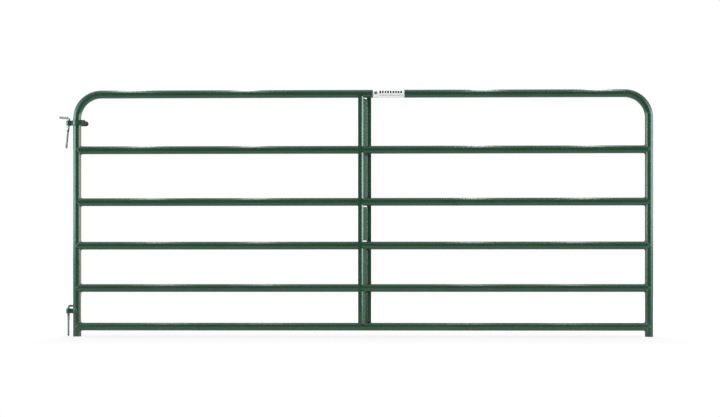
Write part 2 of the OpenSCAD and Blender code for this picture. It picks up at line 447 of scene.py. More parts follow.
def effect_group(name: str, inputs: dict[str, float],
                 outputs: tuple[str, ...]) -> tuple[Nodes, bpy.types.Node, bpy.types.Node]:
    """Starts a shader node group with named inputs and outputs.

    Args:
        name: the group's name.
        inputs: each input's name and first value.
        outputs: the names of the outputs, all of them plain numbers.

    Returns:
        The group's nodes, its input node and its output node.
    """
    tree = bpy.data.node_groups.new(name, "ShaderNodeTree")
    tree.interface.new_socket("Place", in_out="INPUT", socket_type="NodeSocketVector")
    for label, value in inputs.items():
        socket = tree.interface.new_socket(label, in_out="INPUT", socket_type="NodeSocketFloat")
        socket.default_value = value
    for label in outputs:
        tree.interface.new_socket(label, in_out="OUTPUT", socket_type="NodeSocketFloat")
    nodes = Nodes(tree)
    return nodes, nodes.add("NodeGroupInput"), nodes.add("NodeGroupOutput")


class Effects:
    """Node groups that several finishes share."""

    def __init__(self) -> None:
        """Builds each group once."""
        self.peel = self._orange_peel()
        self.dust = self._dust()

    @staticmethod
    def _orange_peel() -> bpy.types.NodeTree:
        """Builds the slow waves and fine dimples of a sprayed coat.

        Returns:
            The group, with a height and a mottle.
        """
        nodes, source, sink = effect_group(
            "orange_peel", {"Dimple Scale": 420.0, "Wave Scale": 26.0}, ("Height", "Mottle")
        )
        dimple_share = 0.25
        place = source.outputs["Place"]
        dimple = nodes.noise(place, source.outputs["Dimple Scale"], 1.5)
        wave = nodes.noise(place, source.outputs["Wave Scale"], 2.0)
        fine = nodes.maths("MULTIPLY", dimple, dimple_share)
        nodes.link(nodes.maths("ADD", fine, wave), sink.inputs["Height"])
        nodes.link(wave, sink.inputs["Mottle"])
        return nodes.tree

    @staticmethod
    def _dust() -> bpy.types.NodeTree:
        """Builds the thin dust that settles near the ground and in broken patches.

        Returns:
            The group, with the dust's amount.
        """
        nodes, source, sink = effect_group("ground_dust", {"Reach": 0.12, "Amount": 0.2}, ("Dust",))
        place = source.outputs["Place"]
        height = nodes.maths("DIVIDE", nodes.parts(place)["Z"], source.outputs["Reach"])
        low = nodes.ramp(nodes.maths("SUBTRACT", 1.0, height), 0.0, 1.0)
        patches = nodes.ramp(nodes.noise(place, 55.0, 4.0), 0.35, 0.7)
        amount = nodes.maths("MULTIPLY", nodes.maths("MULTIPLY", low, patches), source.outputs["Amount"])
        nodes.link(amount, sink.inputs["Dust"])
        return nodes.tree

    @staticmethod
    def place(nodes: Nodes, group: bpy.types.NodeTree, spot: bpy.types.NodeSocket,
              **values: float) -> bpy.types.Node:
        """Places a group in a material.

        Args:
            nodes: the material's nodes.
            group: the group.
            spot: the coordinates that it reads.
            values: its own inputs, by name, with spaces as underscores.

        Returns:
            The group's node.
        """
        node = nodes.add("ShaderNodeGroup", node_tree=group)
        nodes.link(spot, node.inputs["Place"])
        for name, value in values.items():
            node.inputs[name.replace("_", " ")].default_value = value
        return node


def start_material(
    name: str, roughness: float, metallic: float = 0.0,
) -> tuple[bpy.types.Material, Nodes, bpy.types.Node, bpy.types.NodeSocket]:
    """Starts a material with its shader and object coordinates.

    Args:
        name: the material's name.
        roughness: the shader's roughness, where nothing else feeds it.
        metallic: the shader's metallic value.

    Returns:
        The material, its nodes, its Principled shader and its coordinates' socket.
    """
    material = bpy.data.materials.new(name)
    material.use_nodes = True
    material.node_tree.nodes.clear()
    nodes = Nodes(material.node_tree)
    shader = nodes.add("ShaderNodeBsdfPrincipled")
    shader.inputs["Roughness"].default_value = roughness
    shader.inputs["Metallic"].default_value = metallic
    out = nodes.add("ShaderNodeOutputMaterial")
    nodes.link(shader.outputs[0], out.inputs["Surface"])
    place = nodes.add("ShaderNodeTexCoord").outputs["Object"]
    return material, nodes, shader, place


def bump(nodes: Nodes, shader: bpy.types.Node, height: bpy.types.NodeSocket, depth: float) -> None:
    """Feeds a height to a shader's normal.

    Args:
        nodes: the tree's nodes.
        shader: the shader.
        height: the height, as a share of the depth.
        depth: the depth in metres.
    """
    node = nodes.add("ShaderNodeBump")
    node.inputs["Strength"].default_value = 1.0
    node.inputs["Distance"].default_value = depth
    nodes.link(height, node.inputs["Height"])
    nodes.link(node.outputs[0], shader.inputs["Normal"])


def shade(red: float, green: float, blue: float) -> Colour:
    """Returns a linear colour with full alpha."""
    return (red, green, blue, 1.0)


@dataclass(frozen=True)
class GreenEnamel:
    """Glossy dark green gate enamel, with a little orange peel and dust at its feet."""

    name: str = "green_enamel"
    deep: Colour = shade(0.0150, 0.0570, 0.0300)
    light: Colour = shade(0.0190, 0.0670, 0.0370)
    dusty: Colour = shade(0.105, 0.120, 0.100)
    roughness: tuple[float, float] = (0.16, 0.25)
    peel_depth: float = 0.22 * MM
    tone_scale: float = 7.0
    tone_range: tuple[float, float] = (0.3, 0.7)
    dust_reach: float = 0.14
    dust_amount: float = 0.10

    def build(self, effects: Effects) -> bpy.types.Material:
        """Builds the material.

        Args:
            effects: the shared effects.

        Returns:
            The material.
        """
        material, nodes, shader, place = start_material(self.name, self.roughness[0])
        peel = Effects.place(nodes, effects.peel, place)
        dust = Effects.place(nodes, effects.dust, place, Reach=self.dust_reach, Amount=self.dust_amount)
        dust = dust.outputs["Dust"]
        tone = nodes.ramp(nodes.noise(place, self.tone_scale, 4.0), *self.tone_range)
        colour = nodes.mix(tone, self.deep, self.light)
        nodes.link(nodes.mix(dust, colour, self.dusty), shader.inputs["Base Color"])
        low, high = self.roughness
        gloss = nodes.maths("MULTIPLY_ADD", peel.outputs["Mottle"], high - low, low)
        nodes.link(nodes.maths("ADD", gloss, dust), shader.inputs["Roughness"])
        bump(nodes, shader, peel.outputs["Height"], self.peel_depth)
        return material


@dataclass(frozen=True)
class WeldEnamel:
    """The same enamel over weld metal, mottled with lighter patches that are painted glints."""

    name: str = "enamelled_weld"
    deep: Colour = shade(0.0180, 0.0660, 0.0400)
    # crest is the lighter colour of the painted glints: a highlight painted into the bead's colour
    crest: Colour = shade(0.1250, 0.2100, 0.1700)
    roughness: float = 0.27
    grain_depth: float = 0.4 * MM
    grain_scales: tuple[float, float] = (700.0, 190.0)
    painted_glint_scale: float = 170.0
    painted_glint_range: tuple[float, float] = (0.48, 0.68)

    def build(self, effects: Effects) -> bpy.types.Material:
        """Builds the material.

        Args:
            effects: the shared effects.

        Returns:
            The material.
        """
        material, nodes, shader, place = start_material(self.name, self.roughness)
        fine, coarse = self.grain_scales
        peel = Effects.place(nodes, effects.peel, place, Dimple_Scale=fine, Wave_Scale=coarse)
        # Painted highlight: noise patches turn the bead to the lighter crest colour, as glints.
        painted_glint = nodes.ramp(nodes.noise(place, self.painted_glint_scale, 3.0), *self.painted_glint_range)
        nodes.link(nodes.mix(painted_glint, self.deep, self.crest), shader.inputs["Base Color"])
        bump(nodes, shader, peel.outputs["Height"], self.grain_depth)
        return material


@dataclass(frozen=True)
class ZincPlate:
    """Dull zinc plating with a faint spangle, and dark bands at set heights.

    Each band is a height, a half width and a strength.
    """

    name: str
    base: Colour
    dark_tone: Colour
    roughness: tuple[float, float]
    bands: tuple[tuple[float, float, float], ...] = ()
    metallic: float = 0.85
    grain_scales: tuple[float, float] = (900.0, 240.0)
    grain_depth: float = 0.2 * MM
    spangle_scale: float = 380.0
    spangle_share: float = 0.6
    spangle_shade: float = 0.72
    grime_scale: float = 90.0
    grime_range: tuple[float, float] = (0.45, 0.75)
    grime_share: float = 0.45
    band_fade: tuple[float, float] = (1.0, 0.55)

    def build(self, effects: Effects) -> bpy.types.Material:
        """Builds the material.

        Args:
            effects: the shared effects.

        Returns:
            The material.
        """
        material, nodes, shader, place = start_material(self.name, self.roughness[0], self.metallic)
        fine, coarse = self.grain_scales
        peel = Effects.place(nodes, effects.peel, place, Dimple_Scale=fine, Wave_Scale=coarse)
        spangle = nodes.add("ShaderNodeTexVoronoi", feature="F1")
        nodes.feed([spangle.inputs["Vector"], spangle.inputs["Scale"]], (place, self.spangle_scale))
        tone = nodes.add("ShaderNodeSeparateColor")
        nodes.link(spangle.outputs["Color"], tone.inputs[0])
        grime = nodes.ramp(nodes.noise(place, self.grime_scale, 5.0), *self.grime_range)
        dark = shade(*(channel * self.spangle_shade for channel in self.base[:3]))
        colour = nodes.mix(nodes.maths("MULTIPLY", tone.outputs[0], self.spangle_share), self.base, dark)
        colour = nodes.mix(nodes.maths("MULTIPLY", grime, self.grime_share), colour, self.dark_tone)
        level = nodes.parts(place)["Z"]
        # Each band darkens the zinc towards the dark tone round one height.
        for height, half, strength in self.bands:
            away = nodes.maths("ABSOLUTE", nodes.maths("SUBTRACT", level, height))
            mask = nodes.ramp(nodes.maths("DIVIDE", away, half), *self.band_fade)
            colour = nodes.mix(nodes.maths("MULTIPLY", mask, strength), colour, self.dark_tone)
        nodes.link(colour, shader.inputs["Base Color"])
        low, high = self.roughness
        gloss = nodes.maths("MULTIPLY_ADD", tone.outputs[1], high - low, low)
        nodes.link(gloss, shader.inputs["Roughness"])
        bump(nodes, shader, peel.outputs["Height"], self.grain_depth)
        return material


@dataclass(frozen=True)
class LabelVinyl:
    """White vinyl of the label, printed with a border, a round dot, a row of blocks and a thin line.

    The print's places are measured from the label's left edge, and up its face from its middle.
    """

    name: str = "white_vinyl"
    face: Colour = shade(0.80, 0.81, 0.805)
    worn: Colour = shade(0.66, 0.69, 0.675)
    ink: Colour = shade(0.022, 0.028, 0.032)
    teal: Colour = shade(0.035, 0.20, 0.19)
    grey: Colour = shade(0.34, 0.37, 0.38)
    border: tuple[float, float] = (1.6 * MM, 3.2 * MM)
    dot: tuple[float, float, float] = (14.5 * MM, 1.5 * MM, 8.5 * MM)
    blocks_run: tuple[float, float] = (34.0 * MM, 153.0 * MM)
    blocks_rise: tuple[float, float] = (-1.0 * MM, 14.5 * MM)
    block_pitch: float = 13.35 * MM
    block_share: float = 0.64
    line_rise: tuple[float, float] = (-12.5 * MM, -9.5 * MM)
    roughness: float = 0.32
    grain_scales: tuple[float, float] = (260.0, 40.0)
    grain_depth: float = 0.12 * MM
    wear_range: tuple[float, float] = (0.45, 0.75)
    wear_share: float = 0.35

    @staticmethod
    def _within(nodes: Nodes, value: bpy.types.NodeSocket, low: float, high: float) -> bpy.types.NodeSocket:
        """Returns a mask of where a value lies between two bounds."""
        above = nodes.maths("GREATER_THAN", value, low)
        return nodes.maths("MULTIPLY", above, nodes.maths("LESS_THAN", value, high))

    def build(self, effects: Effects, radius: float, axis_z: float) -> bpy.types.Material:
        """Builds the material.

        Args:
            effects: the shared effects.
            radius: the radius of the tube under the label.
            axis_z: the height of that tube's axis.

        Returns:
            The material.
        """
        material, nodes, shader, place = start_material(self.name, self.roughness)
        fine, coarse = self.grain_scales
        peel = Effects.place(nodes, effects.peel, place, Dimple_Scale=fine, Wave_Scale=coarse)
        low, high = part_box("label")
        parts = nodes.parts(place)
        along = nodes.maths("SUBTRACT", parts["X"], low.x)
        level = nodes.maths("SUBTRACT", parts["Z"], axis_z)
        rise = nodes.maths("MULTIPLY", nodes.maths("ARCSINE", nodes.maths("DIVIDE", level, radius)), radius)
        half_rise = radius * math.asin(min((high.z - axis_z) / radius, 1.0))
        half_run = (high.x - low.x) / 2
        from_middle = nodes.maths("ABSOLUTE", nodes.maths("SUBTRACT", along, half_run))
        end_in = nodes.maths("SUBTRACT", half_run, from_middle)
        edge_in = nodes.maths("SUBTRACT", half_rise, nodes.maths("ABSOLUTE", rise))
        border = self._within(nodes, nodes.maths("MINIMUM", end_in, edge_in), *self.border)
        beat = nodes.maths("SUBTRACT", along, self.blocks_run[0])
        beat = nodes.maths("FRACT", nodes.maths("DIVIDE", beat, self.block_pitch))
        row = nodes.maths("MULTIPLY", self._within(nodes, along, *self.blocks_run),
                          nodes.maths("LESS_THAN", beat, self.block_share))
        row = nodes.maths("MULTIPLY", row, self._within(nodes, rise, *self.blocks_rise))
        line = nodes.maths("MULTIPLY", self._within(nodes, along, *self.blocks_run),
                           self._within(nodes, rise, *self.line_rise))
        dot_x, dot_rise, dot_r = self.dot
        aside = nodes.maths("POWER", nodes.maths("ABSOLUTE", nodes.maths("SUBTRACT", along, dot_x)), 2.0)
        over = nodes.maths("POWER", nodes.maths("ABSOLUTE", nodes.maths("SUBTRACT", rise, dot_rise)), 2.0)
        dot = nodes.maths("LESS_THAN", nodes.maths("ADD", aside, over), dot_r ** 2)
        worn = nodes.ramp(peel.outputs["Mottle"], *self.wear_range)
        tone = nodes.maths("MULTIPLY", worn, self.wear_share)
        colour = nodes.mix(tone, self.face, self.worn)
        for mask, ink in ((border, self.grey), (line, self.grey), (row, self.ink), (dot, self.teal)):
            colour = nodes.mix(mask, colour, ink)
        nodes.link(colour, shader.inputs["Base Color"])
        bump(nodes, shader, peel.outputs["Height"], self.grain_depth)
        return material


@dataclass
class Finishes:
    """Every finish of the gate, built once."""

    enamel: bpy.types.Material
    weld: bpy.types.Material
    bolt_zinc: bpy.types.Material
    label: bpy.types.Material
    effects: Effects

    @classmethod
    def build(cls, sizes: "GateSizes") -> "Finishes":
        """Builds the shared effects and the finishes that are the same on every piece.

        Args:
            sizes: the gate's sizes.

        Returns:
            The finishes.
        """
        effects = Effects()
        bolt = ZincPlate("bolt_zinc", base=shade(0.055, 0.046, 0.039), dark_tone=shade(0.03, 0.021, 0.016),
                         roughness=(0.5, 0.62), metallic=0.35)
        label = LabelVinyl().build(effects, sizes.tube_r, sizes.top_z)
        return cls(GreenEnamel().build(effects), WeldEnamel().build(effects), bolt.build(effects), label,
                   effects)


class Slot(Enum):
    """The record's material slots."""

    GREEN = "green_enamel"
    WELD = "enamelled_weld"
    ZINC = "zinc_plate"
    VINYL = "white_vinyl"


def dress(piece: bpy.types.Object, material: bpy.types.Material, body: str,
          stands_for: tuple[str, ...] = ()) -> None:
    """Gives a new piece its finish, the body it rides on and the nodes it stands for.

    Args:
        piece: the piece.
        material: its finish.
        body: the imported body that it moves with.
        stands_for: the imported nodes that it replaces.
    """
    piece.data.materials.clear()
    piece.data.materials.append(material)
    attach(piece, body)
    if stands_for:
        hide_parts(*stands_for)
    LOG.info("%s: %d faces on %s", piece.name, len(piece.data.polygons), body)


# ------------------------------------------------------------------ the gate's sizes


@dataclass
class GateSizes:
    """Sizes and places that the pieces share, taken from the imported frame."""

    tube_r: float = field(init=False)
    latch_x: float = field(init=False)
    middle_x: float = field(init=False)
    brace_x: float = field(init=False)
    top_z: float = field(init=False)
    rail_z: list[float] = field(init=False)
    eye_x: float = field(init=False)
    hinge_z: dict[str, float] = field(init=False)
    strap_h: float = field(init=False)

    def __post_init__(self) -> None:
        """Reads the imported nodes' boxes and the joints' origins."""
        low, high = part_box("rail_1")
        self.tube_r = (high.z - low.z) / 2
        frame_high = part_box("outer_frame")[1]
        self.latch_x = frame_high.x - self.tube_r
        self.middle_x = self.latch_x / 2
        self.brace_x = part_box("centre_brace")[0].x
        self.top_z = frame_high.z - self.tube_r
        rails = [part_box(name) for name in RAILS]
        self.rail_z = [(lowest.z + highest.z) / 2 for lowest, highest in rails]
        origins = {joint["child"]: joint["pos_m"] for joint in frame["joints"]}
        self.eye_x = origins["top_hook"][0]
        self.hinge_z = {body: origin[2] for body, origin in origins.items()}
        strap_low, strap_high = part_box("bottom_hinge_strap")
        self.strap_h = strap_high.z - strap_low.z


# ------------------------------------------------------------------ tubes and welds


@dataclass
class Tubework:
    """The bent outer frame and the five rails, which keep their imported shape."""

    finish: bpy.types.Material

    def build(self) -> None:
        """Enamels each tube."""
        for name in ["outer_frame"] + RAILS:
            mesh = frame["nodes"][name].data
            mesh.materials.clear()
            mesh.materials.append(self.finish)
            LOG.info("%s: enamelled", name)


@dataclass
class WeldBead:
    """A rippled bead laid along a path of points."""

    radius: float = 3.6 * MM
    ripple: float = 0.13
    ripple_pitch: float = 3.2 * MM
    roundness: int = 3
    end_share: float = 0.55
    end_growth: float = 0.25

    def lay(self, points: list[Vector], closed: bool, name: str) -> bpy.types.Object:
        """Lays the bead.

        Args:
            points: its centre line.
            closed: whether it runs back into its start.
            name: the piece's name.

        Returns:
            The bead's object.
        """
        Bench.clear()
        bpy.ops.mesh.primitive_circle_add(vertices=len(points), radius=1.0)
        piece = bpy.context.object
        piece.name = name
        for vertex, point in zip(piece.data.vertices, points):
            vertex.co = point
        if not closed:
            last = len(points) - 1
            for edge in piece.data.edges:
                edge.select = set(edge.vertices) == {0, last}
            for vertex in piece.data.vertices:
                vertex.select = vertex.index in (0, last)
            bpy.ops.object.mode_set(mode="EDIT")
            bpy.ops.mesh.select_mode(type="EDGE")
            bpy.ops.mesh.delete(type="EDGE_FACE")
            bpy.ops.object.mode_set(mode="OBJECT")
        bpy.ops.object.convert(target="CURVE")
        curve = piece.data
        curve.bevel_depth = self.radius
        curve.bevel_resolution = self.roundness
        curve.use_fill_caps = True
        run = 0.0
        spline = curve.splines[0]
        for index, point in enumerate(spline.points):
            if index:
                run += (point.co.xyz - spline.points[index - 1].co.xyz).length
            from_end = min(index, len(points) - 1 - index)
            ends = 1.0 if closed else min(1.0, self.end_share + self.end_growth * from_end)
            point.radius = ends * (1.0 + self.ripple * math.cos(math.tau * run / self.ripple_pitch))
        bpy.ops.object.convert(target="MESH")
        Bench.outwards(piece)
        Bench.smooth(piece, 60.0)
        return piece


@dataclass
class RailWelds:
    """The saddle welds round the rails' ends, at one stile."""

    sizes: GateSizes
    finish: bpy.types.Material
    stile_x: float
    towards: float
    sink: float = 1.6 * MM
    steps: int = 120
    bead: WeldBead = field(default_factory=WeldBead)

    def saddle(self, height: float) -> list[Vector]:
        """Draws the seam between a rail and the stile, a little under their skin.

        Args:
            height: the height of the rail's axis.

        Returns:
            The seam's points, once round.
        """
        radius = self.sizes.tube_r
        points = []
        for step in range(self.steps):
            turn = math.tau * step / self.steps
            across = math.sin(turn)
            out = (radius - self.sink * abs(across)) * across
            along = radius * abs(math.cos(turn))
            up = (radius - self.sink * abs(across)) * math.cos(turn)
            points.append(Vector((self.stile_x + self.towards * along, out, height + up)))
        return points

    def build(self, name: str, stands_for: str) -> None:
        """Lays one bead round each rail and joins them."""
        beads = [self.bead.lay(self.saddle(z), True, f"{name}_{index}")
                 for index, z in enumerate(self.sizes.rail_z, 1)]
        dress(Bench.join(beads, name), self.finish, GATE_BODY, (stands_for,))


# ------------------------------------------------------------------ centre brace


@dataclass
class CentreBrace:
    """The pressed Z brace at mid-length, notched round every rail and welded to it."""

    sizes: GateSizes
    finishes: Finishes
    thickness: float = 2.0 * MM
    front_flange: float = 24.0 * MM
    back_flange: float = 20.5 * MM
    web_run: float = 22.5 * MM
    front_bend_r: float = 15.0 * MM
    back_bend_r: float = 2.6 * MM
    flange_gap: float = 0.5 * MM
    notch_gap: float = 0.3 * MM
    slot_h: float = 33.0 * MM
    slot_r: float = 5.0 * MM
    slack: tuple[float, ...] = (0.0, 0.0, 5.0 * MM, -5.5 * MM, 0.0, -4.5 * MM)
    edge: float = 0.5 * MM
    bead_offset: float = 1.6 * MM
    bead_half_turn: float = 50.0
    tack_r: float = 2.0 * MM
    tack_sink: float = 0.5 * MM
    tack_steps: int = 8
    tack_step: float = 2.6 * MM
    tack_weave: float = 1.2 * MM
    plane_y: float = field(init=False)
    web_angle: float = field(init=False)
    corner_x: float = field(init=False)
    heights: list[float] = field(init=False)

    def __post_init__(self) -> None:
        """Works out where the section lies about the tubes."""
        self.plane_y = self.sizes.tube_r + self.flange_gap + self.thickness / 2
        self.web_angle = math.degrees(math.atan2(2 * self.plane_y, self.web_run))
        self.corner_x = self.sizes.brace_x + self.front_flange
        self.heights = self.sizes.rail_z + [self.sizes.top_z]

    def setback(self, bend_r: float) -> float:
        """Returns how far a bend's flat side starts before the corner that it rounds."""
        return bend_r * math.tan(math.radians(self.web_angle) / 2)

    def build(self) -> None:
        """Bends the sheet, notches it and welds it."""
        sizes = self.sizes
        front, back = self.setback(self.front_bend_r), self.setback(self.back_bend_r)
        web = math.hypot(2 * self.plane_y, self.web_run) - front - back
        sheet = BentSheet((sizes.brace_x, -self.plane_y), 0.0, sizes.rail_z[0], sizes.top_z)
        sheet.straight(self.front_flange - front).bend(self.front_bend_r, self.web_angle, 4.0)
        sheet.straight(web).bend(self.back_bend_r, -self.web_angle, 6.0)
        sheet.straight(self.back_flange - back)
        piece = sheet.finish("brace_sheet")
        Bench.modify(piece, "SOLIDIFY", thickness=self.thickness, offset=0.0, use_even_offset=True)
        Bench.outwards(piece)
        Bench.cut(piece, self.cutters(front))
        Bench.modify(piece, "BEVEL", width=self.edge, segments=2, limit_method="ANGLE",
                     angle_limit=math.radians(50.0))
        Bench.smooth(piece, 30.0)
        Bench.modify(piece, "WEIGHTED_NORMAL", keep_sharp=True)
        dress(piece, self.finishes.enamel, GATE_BODY, ("centre_brace",))
        self.welds()

    def cutters(self, setback: float) -> list[bpy.types.Object]:
        """Makes what the sheet is notched with: each rail's bore, its slot and the slot's slack.

        Args:
            setback: how far the front bend starts before its corner.

        Returns:
            The cutters.
        """
        reach = self.front_flange + self.web_run + self.back_flange
        radius = self.sizes.tube_r + self.notch_gap
        cutters = [Bench.bar(radius, (self.corner_x - reach, 0.0, z), (self.corner_x + reach, 0.0, z), 96)
                   for z in self.heights]
        depth = self.plane_y + self.thickness
        for z in self.heights:
            size = (setback + self.web_run, depth, self.slot_h)
            middle = (self.corner_x + (self.web_run - setback) / 2, -depth / 2, z)
            cutters.append(Bench.rounded_block(size, middle, self.slot_r))
        for z, slack in zip(self.heights, self.slack):
            if slack:
                height = radius + abs(slack)
                size = (self.web_run - 2 * self.thickness, 2 * depth, height)
                middle = (self.corner_x + self.web_run / 2, 0.0, z + math.copysign(height / 2, slack))
                cutters.append(Bench.rounded_block(size, middle, self.slot_r / 2))
        return cutters

    def web_seam(self, height: float, side: float) -> list[Vector]:
        """Draws the line where the slanted web meets a tube.

        Args:
            height: the height of the tube's axis.
            side: 1 over the tube, or -1 under it.

        Returns:
            The line's points, from front to back.
        """
        radius, steps = self.sizes.tube_r, 24
        slope = math.tan(math.radians(90.0 - self.web_angle))
        middle = self.corner_x + self.web_run / 2 + self.bead_offset
        points = []
        for step in range(steps + 1):
            turn = math.radians(self.bead_half_turn * (2 * step / steps - 1))
            y = radius * math.sin(turn)
            points.append(Vector((middle + y * slope, y, height + side * radius * math.cos(turn))))
        return points

    def welds(self) -> None:
        """Lays beads along the web, where it meets a tube, tacks on the front flange's edge at the upper
        rails and one over the flange's top end.
        """
        sizes = self.sizes
        bead = WeldBead(radius=2.6 * MM, ripple=0.18)
        tack = WeldBead(radius=self.tack_r)
        beads = []
        for z, slack in zip(self.heights, self.slack):
            for side, end in ((1.0, sizes.top_z), (-1.0, sizes.rail_z[0])):
                if z != end and slack * side <= 0:
                    beads.append(bead.lay(self.web_seam(z, side), False, "brace_bead"))
        tack_y = self.tack_r - self.tack_sink - self.plane_y
        steps = range(self.tack_steps + 1)
        for z in sizes.rail_z[1:]:
            low = z - self.tack_steps / 2 * self.tack_step
            points = [Vector((sizes.brace_x + self.tack_weave * math.sin(step * 0.9), tack_y,
                              low + step * self.tack_step)) for step in steps]
            beads.append(tack.lay(points, False, "flange_tack"))
        across = (self.front_flange - self.front_bend_r) / self.tack_steps
        skin_y, over_z = -sizes.tube_r - 0.6 * MM, sizes.top_z + 0.8 * MM
        points = [Vector((sizes.brace_x + across * step, skin_y, over_z)) for step in steps]
        beads.append(tack.lay(points, False, "top_tack"))
        dress(Bench.join(beads, "brace_welds"), self.finishes.weld, GATE_BODY)


# ------------------------------------------------------------------ hinges


@dataclass
class HingeStrap:
    """A heavy strap bent round a hook's eye, pinched to a neck and led round the stile."""

    sizes: GateSizes
    thickness: float = 4.8 * MM
    eye_r: float = 8.0 * MM
    band_gap: float = 0.2 * MM
    seam_gap: float = 0.6 * MM
    fillet_r: float = 3.0 * MM
    edge: float = 0.8 * MM
    eye: float = field(init=False)
    band: float = field(init=False)
    fillet: float = field(init=False)
    fillet_y: float = field(init=False)

    def __post_init__(self) -> None:
        """Works out the radii of the strap's middle plane and the fillets' distance from the seam."""
        half = self.thickness / 2
        self.eye = self.eye_r + half
        self.band = self.sizes.tube_r + self.band_gap + half
        self.fillet = self.fillet_r + half
        self.fillet_y = self.seam_gap / 2 + half + self.fillet

    def fillet_turn(self, radius: float) -> float:
        """Returns the angle in degrees at which a fillet meets a round of a radius."""
        return math.degrees(math.asin(self.fillet_y / (radius + self.fillet)))

    def fillet_run(self, radius: float) -> float:
        """Returns how far from the centre of a round of a radius the neck's straight ends."""
        return math.sqrt((radius + self.fillet) ** 2 - self.fillet_y ** 2)

    @property
    def band_start(self) -> float:
        """Angle in degrees at which the band starts, from the side away from the eye."""
        return 180.0 - self.fillet_turn(self.band)

    def eye_and_neck(self, height: float) -> BentSheet:
        """Bends one leg from the eye's far side along the neck to the band's first point.

        Args:
            height: the strap's middle height.

        Returns:
            The strip, ready to run round the stile's +Y side.
        """
        eye_x = self.sizes.eye_x
        eye_turn, band_turn = self.fillet_turn(self.eye), self.fillet_turn(self.band)
        low = height - self.sizes.strap_h / 2
        strip = BentSheet((eye_x - self.eye, 0.0), 90.0, low, low + self.sizes.strap_h)
        strip.bend(self.eye, -(180.0 - eye_turn)).bend(self.fillet, 90.0 - eye_turn)
        strip.straight(-self.fillet_run(self.band) - (eye_x + self.fillet_run(self.eye)))
        return strip.bend(self.fillet, 90.0 - band_turn)


